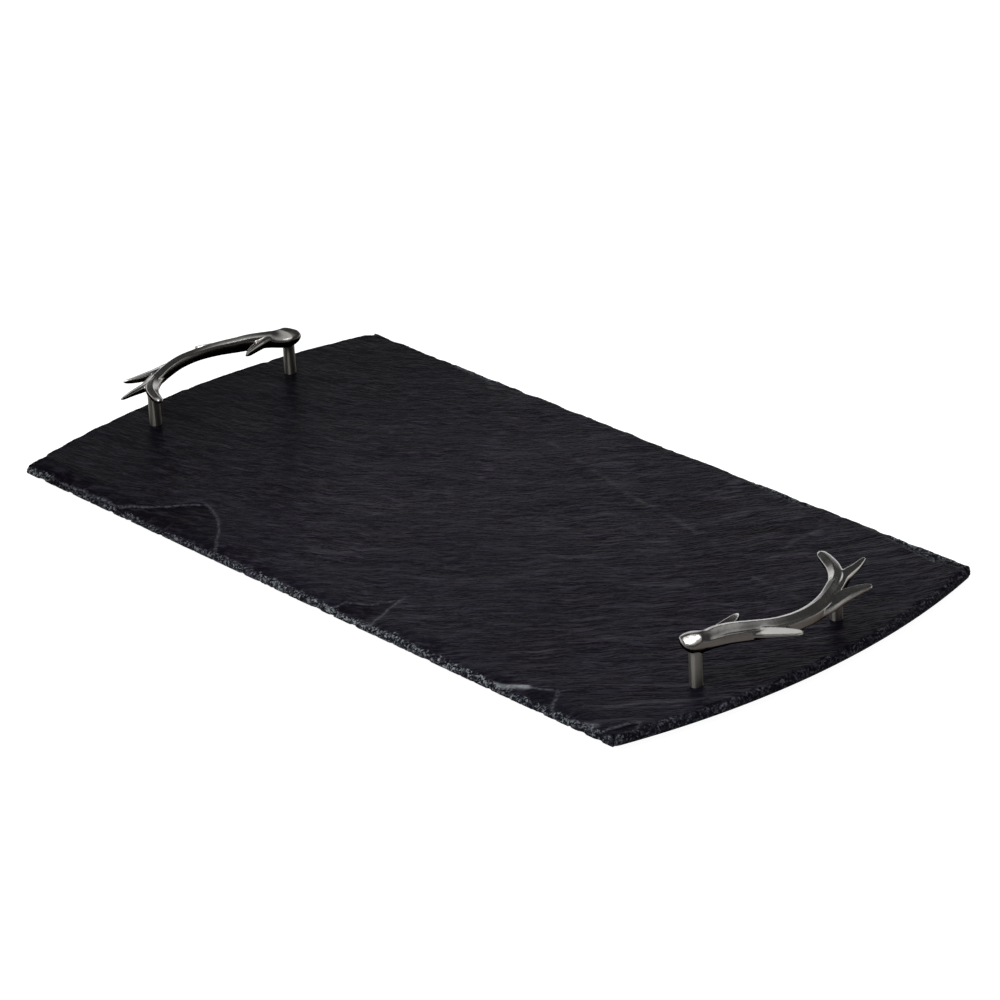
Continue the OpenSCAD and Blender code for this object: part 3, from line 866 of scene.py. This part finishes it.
# The upper faces of the side and brow tines stand out most, and get the brightest painted highlight
side_tine = [(-0.36 * post_pitch / 2, -0.97 * beam_bow), (-0.085 * post_pitch / 2, -1.60 * beam_bow)]
side_reach = (2.8 * mm, 4.5 * mm)
brow_middle = -0.42 * post_pitch / 2
brow_half = 0.18 * post_pitch / 2
brow_from = (0.06 * beam_bow, 0.20 * beam_bow)
brow_share = 0.8
up_facing = (0.15, 0.45)
along = places[:, 1] + right_shift
inward = post_x - places[:, 0]
on_side = 1 - smoothstep(line_distance(along, inward, side_tine), *side_reach)
on_brow = brow_share * smoothstep(inward, *brow_from) * (np.abs(along - brow_middle) < brow_half)
upward = smoothstep(facing[:, 2], *up_facing)
keep_values(right_antler, "wear_and_painted_highlight", np.maximum(ridge_wear_and_highlight, np.maximum(on_side, on_brow) * upward))

pick(right_antler)
bpy.ops.object.shade_smooth_by_angle(angle=math.radians(40))

# The left handle is the same casting turned half round
bpy.ops.object.duplicate()
left_antler = bpy.context.object
left_antler.name = "left_antler_casting"
left_antler.data.transform(
    Matrix.Translation((0, left_shift - right_shift, 0)) @ Matrix.Rotation(math.pi, 4, "Z"))

# Colours of the plating and of its edges seen at a slant, how much the wear and painted highlight clears the
# painted shade on the sides and underside, and how dark that painted shade gets
nickel_low = (0.44, 0.43, 0.41, 1)
nickel_high = (0.54, 0.53, 0.51, 1)
painted_shade_nickel = (0.040, 0.032, 0.028, 1)
wear_and_highlight_nickel = (0.90, 0.88, 0.84, 1)
clear_edge = (0.9, 0.9, 0.92, 1)
painted_shade_edge = (0.16, 0.13, 0.115, 1)
highlight_clears_shade = 0.7
painted_shade_most = 0.94

satin_nickel, tree, here = new_material("satin nickel casting")
waves = cloud(tree, here, 90.0)
rub = cloud(tree, here, 420.0, detail=3.0, roughness=0.6)
pits = cloud(tree, here, 2600.0, detail=2.0, roughness=0.6)
wear_and_highlight_part = spot_value(tree, "wear_and_painted_highlight")
# Painted shade: the sides and underside are coloured dark, less so where the wear and painted highlight lies
painted_shade_part = calc(tree, "MULTIPLY", spot_value(tree, "under"),
                 calc(tree, "SUBTRACT", 1.0, calc(tree, "MULTIPLY", wear_and_highlight_part, highlight_clears_shade)))
nickel = tint(tree, spread(tree, rub, (0.3, 0.7), (0, 1)), nickel_low, nickel_high)
nickel = tint(tree, calc(tree, "MULTIPLY", painted_shade_part, painted_shade_most), nickel, painted_shade_nickel)
# Wear and painted highlight: the ridges and the upper faces of the side and brow tines are coloured bright
nickel = tint(tree, wear_and_highlight_part, nickel, wear_and_highlight_nickel)
finish_surface(tree, {
    "Base Color": nickel,
    "Metallic": 1.0,
    "Roughness": spread(tree, waves, (0.3, 0.7), (0.17, 0.25)),
    "Specular Tint": tint(tree, painted_shade_part, clear_edge, painted_shade_edge),
    "Normal": bumps(tree, heap(tree, (waves, 0.12), (pits, 0.003), (rub, 0.012)))})
for antler, cad_name in ((right_antler, "right_antler"), (left_antler, "left_antler")):
    coat(antler, satin_nickel)
    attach(antler, "root")
    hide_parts(cad_name)


# Posts
# Four round sleeves turned from metal bar, bored through for a screw, that hold each antler off the
# slate. They are nickel plated like the castings, with their fine turning marks still on them.
bore_d = 4.6 * mm
arris = 0.3 * mm
sleeve_sides = 72
level_within = 0.001 * mm
rim_within = 0.01 * mm
turned_bar = (0.20, 0.188, 0.172, 1)

turned_nickel, tree, here = new_material("turned nickel")
marks = cloud(tree, here, 2400.0, detail=1.0, roughness=0.5, stretch=(0.05, 0.05, 1))
finish_surface(tree, {
    "Base Color": turned_bar,
    "Metallic": 1.0,
    "Roughness": spread(tree, marks, (0.3, 0.7), (0.42, 0.50)),
    "Anisotropic": 1.0,
    "Anisotropic Rotation": 0.25,
    "Tangent": put(tree, "ShaderNodeTangent", direction_type="RADIAL", axis="Z").outputs[0],
    "Normal": bumps(tree, marks, unit=0.01 * mm, strength=0.6)})

for name, (x, y) in post_places.items():
    fresh_edit()
    bpy.ops.mesh.primitive_cylinder_add(
        vertices=sleeve_sides, radius=post_d / 2, depth=post_h, location=(x, y, top_z + post_h / 2))
    sleeve = bpy.context.object
    sleeve.name = name + "_sleeve"
    bpy.ops.object.transform_apply(location=True, rotation=True, scale=True)

    # The bore joins an inset circle on each end
    bpy.ops.object.mode_set(mode="EDIT")
    bpy.ops.mesh.select_mode(type="FACE")
    bpy.ops.mesh.select_all(action="DESELECT")
    shape = bmesh.from_edit_mesh(sleeve.data)
    for face in shape.faces:
        face.select = abs(face.normal.z) > 0.9
    bmesh.update_edit_mesh(sleeve.data)
    bpy.ops.mesh.inset(thickness=(post_d - bore_d) / 2)
    bpy.ops.mesh.bridge_edge_loops()

    # The sharp arris round each end is broken
    bpy.ops.mesh.select_all(action="DESELECT")
    bpy.ops.mesh.select_mode(type="EDGE")
    shape = bmesh.from_edit_mesh(sleeve.data)
    for edge in shape.edges:
        from_axis = [math.hypot(end.co.x - x, end.co.y - y) for end in edge.verts]
        level = abs(edge.verts[0].co.z - edge.verts[1].co.z) < level_within
        edge.select = level and min(from_axis) > post_d / 2 - rim_within
    bmesh.update_edit_mesh(sleeve.data)
    bpy.ops.mesh.bevel(offset=arris, segments=3)
    bpy.ops.mesh.select_all(action="SELECT")
    bpy.ops.mesh.normals_make_consistent(inside=False)
    bpy.ops.object.mode_set(mode="OBJECT")
    bpy.ops.object.shade_smooth_by_angle(angle=math.radians(35))
    coat(sleeve, turned_nickel)
    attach(sleeve, "root")
    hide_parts(name + "_post")


# Screws
# Zinc-plated machine screws with pan heads and a cross recess. One goes up through each washer, the slab
# and the post above it, into the tapped hole in the casting.
zinc_low = (0.52, 0.53, 0.54, 1)
zinc_high = (0.66, 0.66, 0.64, 1)

zinc_plate, tree, here = new_material("zinc plate")
clouds = cloud(tree, here, 700.0, detail=3.0, roughness=0.6)
finish_surface(tree, {
    "Base Color": tint(tree, clouds, zinc_low, zinc_high),
    "Metallic": 1.0,
    "Roughness": spread(tree, clouds, (0.3, 0.7), (0.28, 0.42)),
    "Normal": bumps(tree, clouds, unit=0.02 * mm, strength=0.5)})
for name in post_places:
    coat(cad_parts[name + "_screw"], zinc_plate)


# Washers
# Flat rings stamped from sheet metal and zinc plated like the screws. Each lies between a screw's head and
# the slate, so that the head doesn't crack the stone.
for name in post_places:
    coat(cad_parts[name + "_washer"], zinc_plate)


# Feet
# Soft black bumpers moulded in rubber and stuck under the corners. They hold the screw heads clear of the
# table, and keep the slate from scratching it.
rubber_black = (0.016, 0.016, 0.016, 1)
rubber_dusty = (0.034, 0.034, 0.033, 1)

foot_rubber, tree, here = new_material("foot rubber")
dust = cloud(tree, here, 300.0, detail=3.0, roughness=0.6)
skin = cloud(tree, here, 3000.0)
finish_surface(tree, {
    "Base Color": tint(tree, dust, rubber_black, rubber_dusty),
    "Roughness": spread(tree, dust, (0.3, 0.7), (0.55, 0.72)),
    "Normal": bumps(tree, skin, unit=0.02 * mm, strength=0.4)})
for end in ("left", "right"):
    for side in ("near", "far"):
        coat(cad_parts[f"{end}_{side}_foot"], foot_rubber)


# Floor, light and camera
# A pale studio table that runs out to white, with one large soft box above the board's near side. The
# camera stands where the photograph was taken.
fresh_edit()
table_side = 14
bpy.ops.mesh.primitive_plane_add(size=table_side)
floor = bpy.context.object
floor.name = "studio_table"

# White to the camera and in reflections, and a dull grey to all other light
matt_grey = (0.30, 0.30, 0.30, 1)
pure_white = (1, 1, 1, 1)
table_white, tree, here = new_material("studio table")
rays = put(tree, "ShaderNodeLightPath").outputs
seen = calc(tree, "MAXIMUM", rays["Is Camera Ray"], rays["Is Glossy Ray"])
seen = calc(tree, "MAXIMUM", seen, rays["Is Transmission Ray"])
matt = put(tree, "ShaderNodeBsdfDiffuse", {"Color": matt_grey})
from_board = put(tree, "ShaderNodeVectorMath", {0: here}, operation="LENGTH").outputs["Value"]
white = spread(tree, from_board, (0.35, 1.1), (0.965, 1.0), "SMOOTHSTEP")
glow = put(tree, "ShaderNodeEmission", {"Color": pure_white, "Strength": calc(tree, "MULTIPLY", seen, white)})
both = put(tree, "ShaderNodeAddShader", {0: matt.outputs[0], 1: glow.outputs[0]})
put(tree, "ShaderNodeOutputMaterial", {"Surface": both.outputs[0]})
coat(floor, table_white)

# The room is pale low down behind the board and high above it, dim elsewhere, and white to the camera
behind_way = (-0.757, 0.654, 0.0)
above_way = (-0.073, -0.416, 0.906)
room_dim = 0.05
world = bpy.data.worlds.new("studio")
bpy.context.scene.world = world
world.use_nodes = True
tree = world.node_tree
tree.nodes.clear()
seen = put(tree, "ShaderNodeLightPath").outputs["Is Camera Ray"]
way = put(tree, "ShaderNodeTexCoord").outputs["Generated"]
rise = put(tree, "ShaderNodeSeparateXYZ", {0: way}).outputs[2]
behind = put(tree, "ShaderNodeVectorMath", {0: way, 1: behind_way}, operation="DOT_PRODUCT").outputs["Value"]
above = put(tree, "ShaderNodeVectorMath", {0: way, 1: above_way}, operation="DOT_PRODUCT").outputs["Value"]
glare = calc(tree, "MULTIPLY", spread(tree, rise, (0.10, 0.30), (1.0, 0.0), "SMOOTHSTEP"),
             spread(tree, behind, (-0.2, 0.6), (0.12, 1.0), "SMOOTHSTEP"))
halo = spread(tree, above, (0.45, 0.90), (0.0, 0.5), "SMOOTHSTEP")
room = calc(tree, "ADD", calc(tree, "ADD", glare, halo), room_dim)
air = put(tree, "ShaderNodeBackground", {"Color": pure_white, "Strength": calc(tree, "MAXIMUM", room, seen)})
put(tree, "ShaderNodeOutputWorld", {"Surface": air.outputs[0]})

# The soft box looks at the middle of the board
lamp_turn = math.radians(-88)
lamp_rise = math.radians(56)
lamp_gap = 1.7
lamp_side = 1.5
lamp_power = 24
lamp = bpy.data.lights.new("top_soft_box", "AREA")
lamp.shape = "RECTANGLE"
lamp.size = lamp_side
lamp.size_y = lamp_side
lamp.energy = lamp_power
lamp_spot = lamp_gap * Vector((
    math.cos(lamp_turn) * math.cos(lamp_rise),
    math.sin(lamp_turn) * math.cos(lamp_rise),
    math.sin(lamp_rise)))
lamp_stand = bpy.data.objects.new("top_soft_box", lamp)
lamp_stand.location = lamp_spot
lamp_stand.rotation_euler = lamp_spot.to_track_quat("Z", "Y").to_euler()
bpy.context.scene.collection.objects.link(lamp_stand)

# The camera is turned about Z from -Y, raised, and rolled a little
camera_turn = math.radians(49.175)
camera_rise = math.radians(24.785)
camera_roll = math.radians(-3.05)
camera_gap = 2664.7 * mm
looks_at = Vector((-6.14 * mm, 21.65 * mm, top_z))
photo_side = 1000
focal_px = 4213.7
sensor_w = 36
back = Vector((
    math.sin(camera_turn) * math.cos(camera_rise), -math.cos(camera_turn) * math.cos(camera_rise),
    math.sin(camera_rise)))
level_right = Vector((math.cos(camera_turn), math.sin(camera_turn), 0))
level_up = back.cross(level_right)
right = math.cos(camera_roll) * level_right + math.sin(camera_roll) * level_up
up = math.cos(camera_roll) * level_up - math.sin(camera_roll) * level_right
lens = bpy.data.cameras.new("photo_camera")
lens.sensor_width = sensor_w
lens.lens = sensor_w * focal_px / photo_side
lens.clip_end = 60
camera = bpy.data.objects.new("photo_camera", lens)
camera.matrix_world = Matrix.Translation(looks_at + back * camera_gap) @ Matrix(
    (right, up, back)).transposed().to_4x4()
bpy.context.scene.collection.objects.link(camera)
bpy.context.scene.camera = camera
bpy.context.scene.view_settings.view_transform = "Standard"
